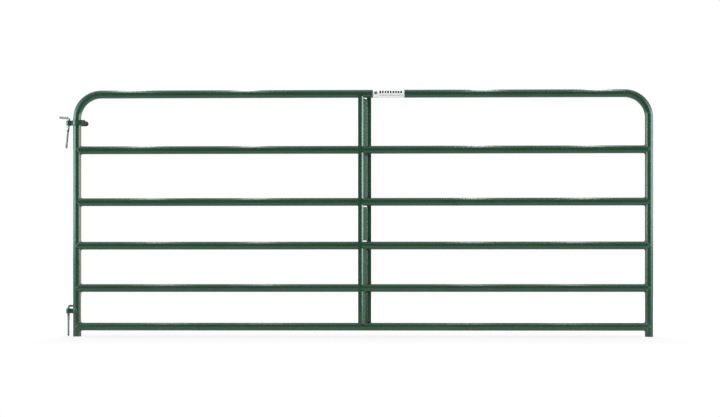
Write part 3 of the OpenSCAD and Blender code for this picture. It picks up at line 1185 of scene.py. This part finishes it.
@dataclass
class TopHinge:
    """The U-shaped clamp round the stile and the carriage bolt through its two legs."""

    sizes: GateSizes
    finishes: Finishes
    strap: HingeStrap
    bolt_reach: float = 19.5 * MM
    bolt_d: float = 9.5 * MM
    head_d: float = 20.0 * MM
    head_h: float = 5.0 * MM
    nut_w: float = 14.3 * MM
    nut_h: float = 8.3 * MM
    tail: float = 6.0 * MM
    seat: float = 0.15 * MM
    thread_l: float = 24.0 * MM
    pitch: float = 1.6 * MM
    core_sink: float = 0.5 * MM
    tail_edge: float = 0.8 * MM
    nut_edge: float = 0.35 * MM
    dome_rings: int = 10
    height: float = field(init=False)
    leg_out: float = field(init=False)
    bolt_x: float = field(init=False)

    def __post_init__(self) -> None:
        """Works out the clamp's height, its legs' outer faces and the bolt's place."""
        self.height = self.sizes.hinge_z["top_hook"]
        self.leg_out = self.strap.band + self.strap.thickness / 2
        self.bolt_x = self.sizes.tube_r + self.bolt_reach

    def build(self) -> None:
        """Builds the clamp, the bolt and the nut."""
        self.clamp()
        self.bolt()
        self.nut()

    def clamp(self) -> None:
        """Bends the clamp's two legs, runs them on past the stile and rounds them about the bolt."""
        strap = self.strap
        half_h, tip_share = self.sizes.strap_h / 2, 0.02
        strip = strap.eye_and_neck(self.height)
        strip.bend(strap.band, -(strap.band_start - 90.0))
        strip.straight(self.bolt_x).straight(half_h, cuts=10)
        piece = strip.finish("top_clamp", mirrored=True)
        for vertex in piece.data.vertices:
            past = min((vertex.co.x - self.bolt_x) / half_h, 1.0)
            if past > 0:
                turn = past * math.pi / 2
                vertex.co.x = self.bolt_x + half_h * math.sin(turn)
                reach = max(math.cos(turn), tip_share)
                vertex.co.z = self.height + (vertex.co.z - self.height) * reach
        strap_walls(piece, strap.thickness, strap.edge)
        dress(piece, self.finishes.enamel, GATE_BODY, ("top_hinge_clamp",))

    def bolt_head(self, head_y: float) -> bpy.types.Object:
        """Raises the carriage bolt's domed head, ring by ring.

        Args:
            head_y: the place of its flat underside.

        Returns:
            The head's object.
        """
        dome_r = ((self.head_d / 2) ** 2 + self.head_h ** 2) / (2 * self.head_h)
        Bench.clear()
        bpy.ops.mesh.primitive_circle_add(
            vertices=48, radius=self.head_d / 2, fill_type="NGON",
            location=(self.bolt_x, head_y, self.height), rotation=(math.pi / 2, 0.0, 0.0),
        )
        head = bpy.context.object
        Bench.settle(head)
        bpy.ops.object.mode_set(mode="EDIT")
        bpy.ops.mesh.select_all(action="SELECT")
        centre = Vector((self.bolt_x, head_y, self.height))
        radius, level = self.head_d / 2, 0.0
        for ring in range(1, self.dome_rings + 1):
            angle = math.asin(self.head_d / 2 / dome_r) * (1 - ring / (self.dome_rings + 0.5))
            next_radius = dome_r * math.sin(angle)
            next_level = self.head_h - dome_r * (1 - math.cos(angle))
            step = next_level - level
            bpy.ops.mesh.extrude_region_move(TRANSFORM_OT_translate={"value": (0.0, -step, 0.0)})
            bpy.ops.transform.resize(
                value=(next_radius / radius,) * 3,
                center_override=centre + Vector((0.0, -next_level, 0.0)),
            )
            radius, level = next_radius, next_level
        bpy.ops.object.mode_set(mode="OBJECT")
        Bench.outwards(head)
        return head

    def bolt(self) -> None:
        """Makes the carriage bolt from its head, its shank and its thread."""
        head_y = -self.leg_out - self.seat
        tail_y = self.leg_out + self.seat + self.nut_h + self.tail
        head = self.bolt_head(head_y)
        shank = Bench.bar(self.bolt_d / 2 - self.core_sink, (self.bolt_x, head_y + 0.1 * MM, self.height),
                          (self.bolt_x, tail_y, self.height), 32)
        Bench.modify(shank, "BEVEL", width=self.tail_edge, segments=2, limit_method="ANGLE")
        thread = helical_thread(self.bolt_d / 2, self.pitch, self.thread_l - 0.6 * MM, 0.0, 1.0)
        thread.data.transform(Matrix.Translation((self.bolt_x, tail_y - self.thread_l, self.height))
                              @ Matrix.Rotation(-math.pi / 2, 4, "X"))
        piece = Bench.join([head, shank, thread], "carriage_bolt")
        Bench.smooth(piece, 40.0)
        dress(piece, self.finishes.bolt_zinc, GATE_BODY, ("top_hinge_bolt",))

    def nut(self) -> None:
        """Makes the hexagon nut behind the back leg.

        A cone that narrows to the nut's width chamfers its outer face.
        """
        low = self.leg_out + self.seat
        wide_r = self.nut_w * 0.62 + self.nut_h * 1.2
        Bench.clear()
        bpy.ops.mesh.primitive_cylinder_add(
            vertices=6, radius=self.nut_w / math.sqrt(3), depth=self.nut_h,
            location=(self.bolt_x, low + self.nut_h / 2, self.height), rotation=(math.pi / 2, 0.0, 0.0),
        )
        nut = bpy.context.object
        Bench.settle(nut)
        Bench.clear()
        bpy.ops.mesh.primitive_cone_add(
            vertices=64, radius1=wide_r, radius2=self.nut_w / 2, depth=self.nut_h * 2,
            location=(self.bolt_x, low, self.height), rotation=(-math.pi / 2, 0.0, 0.0),
        )
        cone = bpy.context.object
        Bench.settle(cone)
        Bench.modify(nut, "BOOLEAN", object=cone, operation="INTERSECT", solver="EXACT")
        bpy.data.objects.remove(cone)
        bore = Bench.bar(self.bolt_d / 2 + self.seat, (self.bolt_x, 0.0, self.height),
                         (self.bolt_x, 2 * self.leg_out, self.height), 48)
        Bench.cut(nut, [bore])
        Bench.modify(nut, "BEVEL", width=self.nut_edge, segments=2, limit_method="ANGLE",
                     angle_limit=math.radians(28.0))
        Bench.smooth(nut, 32.0)
        nut.name = "hex_nut"
        dress(nut, self.finishes.bolt_zinc, GATE_BODY, ("top_hinge_nut",))


@dataclass
class BottomHinge:
    """The strap whose two legs are welded to the stile's front and back."""

    sizes: GateSizes
    finishes: Finishes
    strap: HingeStrap
    leg_wrap: float = 90.0
    sink: float = 0.8 * MM
    end_shift: float = 4.0
    edge_turns: tuple[float, float] = (95.0, 147.0)
    steps: int = 14

    def build(self) -> None:
        """Bends the strap and welds its legs."""
        height = self.sizes.hinge_z["bottom_hook"]
        strap = self.strap
        strip = strap.eye_and_neck(height)
        strip.bend(strap.band, -(strap.band_start - (180.0 - self.leg_wrap)))
        piece = strip.finish("bottom_strap", mirrored=True)
        strap_walls(piece, strap.thickness, strap.edge)
        dress(piece, self.finishes.enamel, GATE_BODY, ("bottom_hinge_strap",))
        self.welds(height)

    def welds(self, height: float) -> None:
        """Lays the upright beads at the legs' ends and short ones along their edges.

        Args:
            height: the strap's middle height.
        """
        half = self.sizes.strap_h / 2
        radius = self.sizes.tube_r + self.sink
        end_bead, edge_bead = WeldBead(radius=3.4 * MM, ripple=0.16), WeldBead(radius=2.2 * MM, ripple=0.2)
        end_turn = math.radians(90.0 - self.leg_wrap + self.end_shift)
        first, last = self.edge_turns
        edge_turns = [math.radians(first + (last - first) * step / (self.steps - 1))
                      for step in range(self.steps)]
        beads = []
        for side in (-1.0, 1.0):
            upright = [Vector((radius * math.sin(end_turn), side * radius * math.cos(end_turn),
                               height - half + 2 * half * step / self.steps))
                       for step in range(self.steps + 1)]
            beads.append(end_bead.lay(upright, False, "leg_bead"))
            for level in (-half, half):
                along = [Vector((radius * math.cos(turn), side * radius * math.sin(turn), height + level))
                         for turn in edge_turns]
                beads.append(edge_bead.lay(along, False, "edge_bead"))
        dress(Bench.join(beads, "bottom_strap_welds"), self.finishes.weld, GATE_BODY,
              ("bottom_hinge_welds",))


# ------------------------------------------------------------------ screw hooks


def helical_thread(radius: float, pitch: float, length: float, taper: float, blunt: float,
                   depth: float = 0.5) -> bpy.types.Object:
    """Winds a screw thread up +Z from the origin.

    Args:
        radius: the thread's outside radius.
        pitch: the rise of one turn.
        length: the thread's whole length.
        taper: the length at its lower end over which it grows to its full radius.
        blunt: the share of that radius at the lower end.
        depth: the thread's depth, as a share of its pitch.

    Returns:
        The thread's object. Its root is open, and a core fills it.
    """
    root, foot, crest = radius - pitch * depth, 0.42 * pitch, 0.08 * pitch
    profile = [(root, -foot), (radius, -crest), (radius, crest), (root, foot)]
    Bench.clear()
    bpy.ops.mesh.primitive_circle_add(vertices=4, radius=1.0)
    piece = bpy.context.object
    for vertex, (out, up) in zip(piece.data.vertices, profile):
        vertex.co = (out, 0.0, up)
    turns = (length - pitch) / pitch
    steps = round(20 * turns)
    Bench.modify(piece, "SCREW", angle=math.tau * turns, screw_offset=pitch * turns,
                 steps=steps, render_steps=steps, use_merge_vertices=False)
    for vertex in piece.data.vertices:
        vertex.co.z += pitch / 2
        if taper > 0 and vertex.co.z < taper:
            share = blunt + (1.0 - blunt) * vertex.co.z / taper
            vertex.co.x *= share
            vertex.co.y *= share
    Bench.outwards(piece)
    return piece


@dataclass
class ScrewHook:
    """An L-shaped screw hook: an arm, a bend, a plain shank and a coarse thread with a blunt end.

    Its marks are dark bands round it. Each is a drop from its top, a half width and a strength.
    """

    sizes: GateSizes
    effects: Effects
    body: str
    arm_angle: float
    lean: float
    marks: tuple[tuple[float, float, float], ...]
    rod_d: float = 12.7 * MM
    length: float = 162.0 * MM
    arm: float = 50.0 * MM
    bend_r: float = 8.35 * MM
    bend_steps: int = 14
    neck_l: float = 0.8 * MM
    thread_d: float = 12.0 * MM
    thread_l: float = 80.0 * MM
    thread_depth: float = 0.36
    point_l: float = 4.0 * MM
    tip_l: float = 0.7 * MM
    tip_share: float = 0.8
    end_l: float = 1.0 * MM
    blunt: float = 0.67
    pitch: float = 4.5 * MM
    eye_r: float = 8.0 * MM
    arm_rise: float = 7.0 * MM
    shift: float = 0.0
    sides: int = 32

    @property
    def leg(self) -> float:
        """Length of the hook's leg, from the bend to the thread's end."""
        return self.length - self.bend_r - self.rod_d / 2

    @property
    def seat(self) -> float:
        """Height of the bend's centre over the eye's centre, along the rod.

        Returns:
            The height that leaves the arm's rise between its underside and the eye's rim.
        """
        lean = math.radians(self.lean)
        rim_up = self.sizes.strap_h / 2 * math.cos(lean) - self.eye_r * math.sin(lean)
        return rim_up + self.arm_rise + self.rod_d / 2 - self.bend_r

    def build(self) -> None:
        """Draws the rod, winds the thread and hangs the hook in its eye."""
        thread = helical_thread(self.thread_d / 2, self.pitch, self.thread_l + self.point_l - self.end_l,
                                self.point_l, self.blunt, self.thread_depth)
        thread.data.transform(Matrix.Translation((0.0, 0.0, self.end_l - self.leg)))
        piece = Bench.join([self.rod(), thread], f"{self.body}_rod")
        place = (Matrix.Translation((self.sizes.eye_x + self.shift, 0.0, self.sizes.hinge_z[self.body]))
                 @ Matrix.Rotation(math.radians(self.arm_angle), 4, "Z")
                 @ Matrix.Rotation(math.radians(-self.lean), 4, "Y")
                 @ Matrix.Translation((0.0, 0.0, self.seat)))
        piece.data.transform(place)
        Bench.smooth(piece, 38.0)
        top = max(vertex.co.z for vertex in piece.data.vertices)
        bands = tuple((top - drop, half, strength) for drop, half, strength in self.marks)
        zinc = ZincPlate(f"{self.body}_zinc", base=shade(0.34, 0.335, 0.33),
                         dark_tone=shade(0.075, 0.065, 0.058), roughness=(0.38, 0.55), bands=bands)
        node = self.body.replace("hook", "screw_hook")
        dress(piece, zinc.build(self.effects), self.body, (node,))

    def rod(self) -> bpy.types.Object:
        """Draws the rod, from the arm's chamfered end round the bend and down to the blunt point.

        Returns:
            The rod's object, with its leg down the Z axis.
        """
        radius = self.rod_d / 2
        chamfer = radius / 6
        face_x = self.arm - chamfer
        shank = self.leg - self.point_l - self.thread_l
        core = self.thread_d / 2 - self.pitch * self.thread_depth
        Bench.clear()
        bpy.ops.mesh.primitive_circle_add(
            vertices=self.sides, radius=radius - chamfer, fill_type="NGON",
            location=(self.arm, 0.0, self.bend_r), rotation=(0.0, math.pi / 2, 0.0),
        )
        rod = bpy.context.object
        Bench.settle(rod)
        bpy.ops.object.mode_set(mode="EDIT")
        bpy.ops.mesh.select_all(action="SELECT")
        self._push((-chamfer, 0.0, 0.0), radius / (radius - chamfer), (face_x, 0.0, self.bend_r))
        self._push((self.bend_r - face_x, 0.0, 0.0))
        bpy.ops.mesh.spin(steps=self.bend_steps, angle=math.pi / 2, center=(self.bend_r, 0.0, 0.0),
                          axis=(0, 1, 0))
        self._push((0.0, 0.0, -shank))
        self._push((0.0, 0.0, -self.neck_l), core / radius, (0.0, 0.0, -shank - self.neck_l))
        self._push((0.0, 0.0, self.neck_l - self.thread_l))
        self._push((0.0, 0.0, self.tip_l - self.point_l))
        self._push((0.0, 0.0, -self.tip_l), self.tip_share, (0.0, 0.0, -self.leg))
        bpy.ops.object.mode_set(mode="OBJECT")
        Bench.outwards(rod)
        return rod

    @staticmethod
    def _push(step: Point, scale: float = 1.0, centre: Point = (0.0, 0.0, 0.0)) -> None:
        """Extrudes the rod's end and scales it.

        Args:
            step: how far the end moves.
            scale: how much wider it gets.
            centre: the place about which it is scaled.
        """
        bpy.ops.mesh.extrude_region_move(TRANSFORM_OT_translate={"value": step})
        if scale != 1.0:
            bpy.ops.transform.resize(value=(scale,) * 3, center_override=centre)


# ------------------------------------------------------------------ label


@dataclass
class Label:
    """The label on the front of the top tube, with rounded corners."""

    sizes: GateSizes
    finish: bpy.types.Material
    corner: float = 3.0 * MM
    lift: float = 0.05 * MM
    thickness: float = 0.22 * MM
    wrap: float = 170.0
    strips: int = 40

    def build(self) -> None:
        """Cuts the label flat, rounds its corners and wraps it round the tube."""
        low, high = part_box("label")
        radius = self.sizes.tube_r + self.lift
        height = radius * math.radians(self.wrap)
        Bench.clear()
        bpy.ops.mesh.primitive_plane_add(size=1.0)
        piece = bpy.context.object
        piece.scale = (high.x - low.x, height, 1.0)
        piece.location = ((low.x + high.x) / 2, 0.0, 0.0)
        Bench.settle(piece)
        bpy.ops.object.mode_set(mode="EDIT")
        bpy.ops.mesh.select_all(action="SELECT")
        bpy.ops.mesh.bevel(offset=self.corner, segments=5, affect="VERTICES")
        for strip in range(1, self.strips):
            level = height * (strip / self.strips - 0.5)
            bpy.ops.mesh.select_all(action="SELECT")
            bpy.ops.mesh.bisect(plane_co=(0.0, level, 0.0), plane_no=(0.0, 1.0, 0.0))
        bpy.ops.object.mode_set(mode="OBJECT")
        for vertex in piece.data.vertices:
            turn = vertex.co.y / radius
            vertex.co.z = self.sizes.top_z + radius * math.sin(turn)
            vertex.co.y = -radius * math.cos(turn)
        Bench.modify(piece, "SOLIDIFY", thickness=self.thickness, offset=1.0)
        Bench.smooth(piece, 30.0)
        piece.name = "tube_label"
        dress(piece, self.finish, GATE_BODY, ("label",))


# ------------------------------------------------------------------ studio


@dataclass
class Softbox:
    """One lamp panel, with its brightness as seen straight on."""

    name: str
    place: Point
    aim: Point
    width: float
    height: float
    glow: float
    colour: Light = (1.0, 1.0, 1.0)
    on_matt: bool = False
    grid: float = 180.0

    def build(self) -> None:
        """Hangs the panel and aims it."""
        Bench.clear()
        run = Vector(self.aim) - Vector(self.place)
        bpy.ops.object.light_add(type="AREA", location=self.place,
                                 rotation=run.to_track_quat("-Z", "Y").to_euler())
        lamp = bpy.context.object
        lamp.name = self.name
        lamp.visible_camera = False
        lamp.visible_diffuse = self.on_matt
        lamp.data.shape = "RECTANGLE"
        lamp.data.size = self.width
        lamp.data.size_y = self.height
        lamp.data.energy = self.glow * math.pi * self.width * self.height
        lamp.data.color = self.colour
        lamp.data.spread = math.radians(self.grid)


@dataclass
class Studio:
    """Pale floor, plain soft light and the camera."""

    sizes: GateSizes
    distance: float = 5.5
    eye_height: float = 0.24
    view_width: float = 3.706
    sensor: float = 36.0
    yaw: float = 0.85
    centre_shift: float = 10.0 * MM
    horizon_drop: float = 0.1131
    backdrop_tilt: float = 30.0
    backdrop_fade: tuple[float, float] = (-0.5, 0.45)
    side_fade: tuple[float, float] = (0.85, 0.55)
    side_level: float = 0.45
    backdrop_shade: Colour = shade(1.15, 1.17, 1.17)
    room_shade: Colour = shade(0.03, 0.035, 0.035)
    ambient: tuple[float, float] = (0.92, 1.25)
    ambient_fade: tuple[float, float] = (-0.5, 1.0)
    floor_reach: tuple[float, float, float] = (1.5, 30.0, 30.0)
    floor_tone: tuple[float, float] = (0.92, 0.22)
    # The floor's glow is lower near the gate than away from it, a painted shade round the gate; the fade
    # and margin set where it rises.
    painted_shade_and_full_glow: tuple[float, float] = (0.68, 0.90)
    painted_shade_fade: tuple[float, float] = (0.4, 1.9)
    painted_shade_margin: float = 0.9
    strip_offsets: tuple[float, ...] = (-1.42, -0.72, 0.72, 1.42)
    strip_y: float = 0.15
    strip_z: float = 2.15
    strip_glow: float = 11.0
    panel_out: float = 3.05
    panel_y: float = -1.1
    panel_aim: float = 1.47
    panel_w: float = 1.9
    low_share: float = 0.35
    wall_out: float = 5.0
    wall_z: float = 1.6
    wall_h: float = 1.9
    wall_colour: Light = (1.0, 0.93, 0.88)
    brace_out: float = 2.4
    brace_aim: float = 25.0 * MM

    def build(self) -> None:
        """Builds the camera, the floor, the backdrop light and the lamps."""
        bpy.context.scene.view_settings.view_transform = "Standard"
        self.camera()
        self.floor()
        self.world()
        self.strips()
        self.side_panels()
        self.walls()
        self.accents()

    def camera(self) -> None:
        """Stands the camera low, in front of the gate's middle."""
        turn = math.radians(self.yaw)
        x = self.sizes.middle_x - self.centre_shift + self.distance * math.tan(turn)
        Bench.clear()
        bpy.ops.object.camera_add(location=(x, -self.distance, self.eye_height),
                                  rotation=(math.pi / 2, 0.0, turn))
        camera = bpy.context.object
        camera.data.sensor_width = self.sensor
        camera.data.lens = self.sensor * self.distance / self.view_width
        camera.data.shift_y = self.horizon_drop
        bpy.context.scene.camera = camera

    def floor(self) -> None:
        """Lays a wide pale floor that keeps the gate's shadow."""
        front, back, side = self.floor_reach
        Bench.clear()
        bpy.ops.mesh.primitive_plane_add(size=1.0, location=(self.sizes.middle_x, (back - front) / 2, 0.0))
        floor = bpy.context.object
        floor.name = "studio_floor"
        floor.scale = (side * 2, front + back, 1.0)
        Bench.settle(floor)
        floor.data.materials.append(self.floor_finish(floor.name))

    def floor_finish(self, name: str) -> bpy.types.Material:
        """Builds the floor's material: dull, with a glow of its own that is held lower round the gate, as a
        painted shade, and grows away from it.

        Rays that light the gate meet a plain pale floor. The glow and the deeper tone are for the
        rays that show the floor.

        Args:
            name: the material's name.

        Returns:
            The material.
        """
        material = bpy.data.materials.new(name)
        material.use_nodes = True
        material.node_tree.nodes.clear()
        nodes = Nodes(material.node_tree)
        path = nodes.add("ShaderNodeLightPath")
        seen = nodes.maths("MAXIMUM", path.outputs["Is Camera Ray"], path.outputs["Is Glossy Ray"])
        seen = nodes.maths("MAXIMUM", seen, path.outputs["Is Transmission Ray"])
        light, dim = (shade(tone, tone, tone) for tone in self.floor_tone)
        lit = nodes.add("ShaderNodeBsdfDiffuse")
        nodes.link(nodes.mix(seen, light, dim), lit.inputs["Color"])
        place = nodes.parts(nodes.add("ShaderNodeTexCoord").outputs["Object"])
        # Painted shade: the glow is held low round the gate and rises to full glow away from it.
        ahead = nodes.ramp(nodes.maths("ABSOLUTE", place["Y"]), *self.painted_shade_fade)
        aside = nodes.maths("ABSOLUTE", nodes.maths("SUBTRACT", place["X"], self.sizes.middle_x))
        edge = self.sizes.middle_x - self.painted_shade_fade[0] / 2
        away = nodes.maths("MAXIMUM", ahead, nodes.ramp(aside, edge, edge + self.painted_shade_margin))
        near, far = self.painted_shade_and_full_glow
        glow = nodes.maths("MULTIPLY_ADD", away, far - near, near)
        emission = nodes.add("ShaderNodeEmission")
        nodes.link(nodes.maths("MULTIPLY", seen, glow), emission.inputs["Strength"])
        both = nodes.add("ShaderNodeAddShader")
        nodes.link(lit.outputs[0], both.inputs[0])
        nodes.link(emission.outputs[0], both.inputs[1])
        out = nodes.add("ShaderNodeOutputMaterial")
        nodes.link(both.outputs[0], out.inputs["Surface"])
        return material

    def world(self) -> None:
        """Sets the white backdrop behind the gate and the dim room in front of it."""
        world = bpy.data.worlds.new("studio")
        bpy.context.scene.world = world
        world.use_nodes = True
        world.node_tree.nodes.clear()
        nodes = Nodes(world.node_tree)
        parts = nodes.parts(nodes.add("ShaderNodeTexCoord").outputs["Generated"])
        tilt = math.radians(self.backdrop_tilt)
        back = nodes.maths("MULTIPLY", parts["Y"], math.cos(tilt))
        up = nodes.maths("MULTIPLY", parts["Z"], math.sin(tilt))
        backdrop = nodes.ramp(nodes.maths("ADD", back, up), *self.backdrop_fade)
        aside = nodes.ramp(nodes.maths("ABSOLUTE", parts["X"]), *self.side_fade)
        backdrop = nodes.mix(aside, nodes.maths("MULTIPLY", backdrop, self.side_level), backdrop)
        path = nodes.add("ShaderNodeLightPath")
        room = nodes.mix(backdrop, self.room_shade, self.backdrop_shade)
        dim, bright = (shade(level, level, level) for level in self.ambient)
        matt = nodes.mix(nodes.ramp(parts["Y"], *self.ambient_fade), dim, bright)
        seen = nodes.mix(path.outputs["Is Glossy Ray"], matt, room)
        seen = nodes.mix(path.outputs["Is Camera Ray"], seen, shade(1.0, 1.0, 1.0))
        background = nodes.add("ShaderNodeBackground")
        nodes.link(seen, background.inputs["Color"])
        out = nodes.add("ShaderNodeOutputWorld")
        nodes.link(background.outputs[0], out.inputs["Surface"])

    def strips(self) -> None:
        """Hangs four long strips over the gate, along Y."""
        for index, offset in enumerate(self.strip_offsets, 1):
            x = self.sizes.middle_x + offset
            Softbox(f"strip_{index}", (x, self.strip_y, self.strip_z), (x, self.strip_y, 0.0),
                    0.12, 2.0, self.strip_glow, on_matt=True).build()

    def side_panels(self) -> None:
        """Stands a tall softbox and a low one at each side of the camera."""
        for side, name, glow, colour in ((-1.0, "left", 4.4, (0.38, 1.0, 1.07)),
                                         (1.0, "right", 4.6, (0.62, 1.0, 1.05))):
            x = self.sizes.middle_x + side * self.panel_out
            aim_x = self.sizes.middle_x + side * self.panel_aim
            for kind, z, aim_z, height, share in (("", 1.4, 1.2, 1.7, 1.0),
                                                  ("_low", 0.28, 0.28, 0.5, self.low_share)):
                Softbox(f"{name}{kind}_panel", (x, self.panel_y, z), (aim_x, 0.0, aim_z),
                        self.panel_w, height, glow * share, colour).build()

    def walls(self) -> None:
        """Stands a wide warm wall of light beyond each end of the gate."""
        middle = self.sizes.middle_x
        for side, name, y, width, glow in ((-1.0, "left", -1.5, 8.0, 3.4), (1.0, "right", 0.0, 3.2, 4.2)):
            place = (middle + side * self.wall_out, y, self.wall_z)
            Softbox(f"{name}_wall", place, (middle, y, self.wall_z), width, self.wall_h, glow,
                    self.wall_colour).build()

    def accents(self) -> None:
        """Adds a rim light behind the hinge stile, and faint panels that show in the brace."""
        Softbox("hinge_rim", (0.85, 0.53, 0.8), (0.0, 0.0, 0.8), 0.8, 1.55, 0.38,
                (1.0, 0.75, 0.65), grid=50.0).build()
        brace = self.sizes.brace_x + self.brace_aim
        for index, (degrees, glow) in enumerate(((34.0, 0.34), (53.0, 0.5), (72.0, 0.16)), 1):
            turn = math.radians(degrees)
            place = (brace + self.brace_out * math.sin(turn), -self.brace_out * math.cos(turn), 1.0)
            Softbox(f"brace_panel_{index}", place, (brace, 0.0, 0.75), 0.85, 1.7, glow,
                    (0.78, 1.0, 0.93), grid=34.0).build()


def main() -> None:
    """Builds the gate's looks in order."""
    logging.basicConfig(level=logging.INFO, format="%(name)s: %(message)s")
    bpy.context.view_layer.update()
    sizes = GateSizes()
    Studio(sizes).build()
    finishes = Finishes.build(sizes)
    Tubework(finishes.enamel).build()
    RailWelds(sizes, finishes.weld, 0.0, 1.0).build("hinge_stile_beads", "hinge_stile_welds")
    RailWelds(sizes, finishes.weld, sizes.latch_x, -1.0).build("latch_stile_beads", "latch_stile_welds")
    CentreBrace(sizes, finishes).build()
    strap = HingeStrap(sizes)
    TopHinge(sizes, finishes, strap).build()
    BottomHinge(sizes, finishes, strap).build()
    ScrewHook(sizes, finishes.effects, "top_hook", 180.0, 5.174,
              ((76 * MM, 6 * MM, 0.8), (160 * MM, 7 * MM, 0.45))).build()
    ScrewHook(sizes, finishes.effects, "bottom_hook", 55.0, 0.0,
              ((52 * MM, 6 * MM, 0.8), (156 * MM, 7 * MM, 0.45)), shift=-1.15 * MM).build()
    Label(sizes, finishes.label).build()


if __name__ == "__main__":
    main()
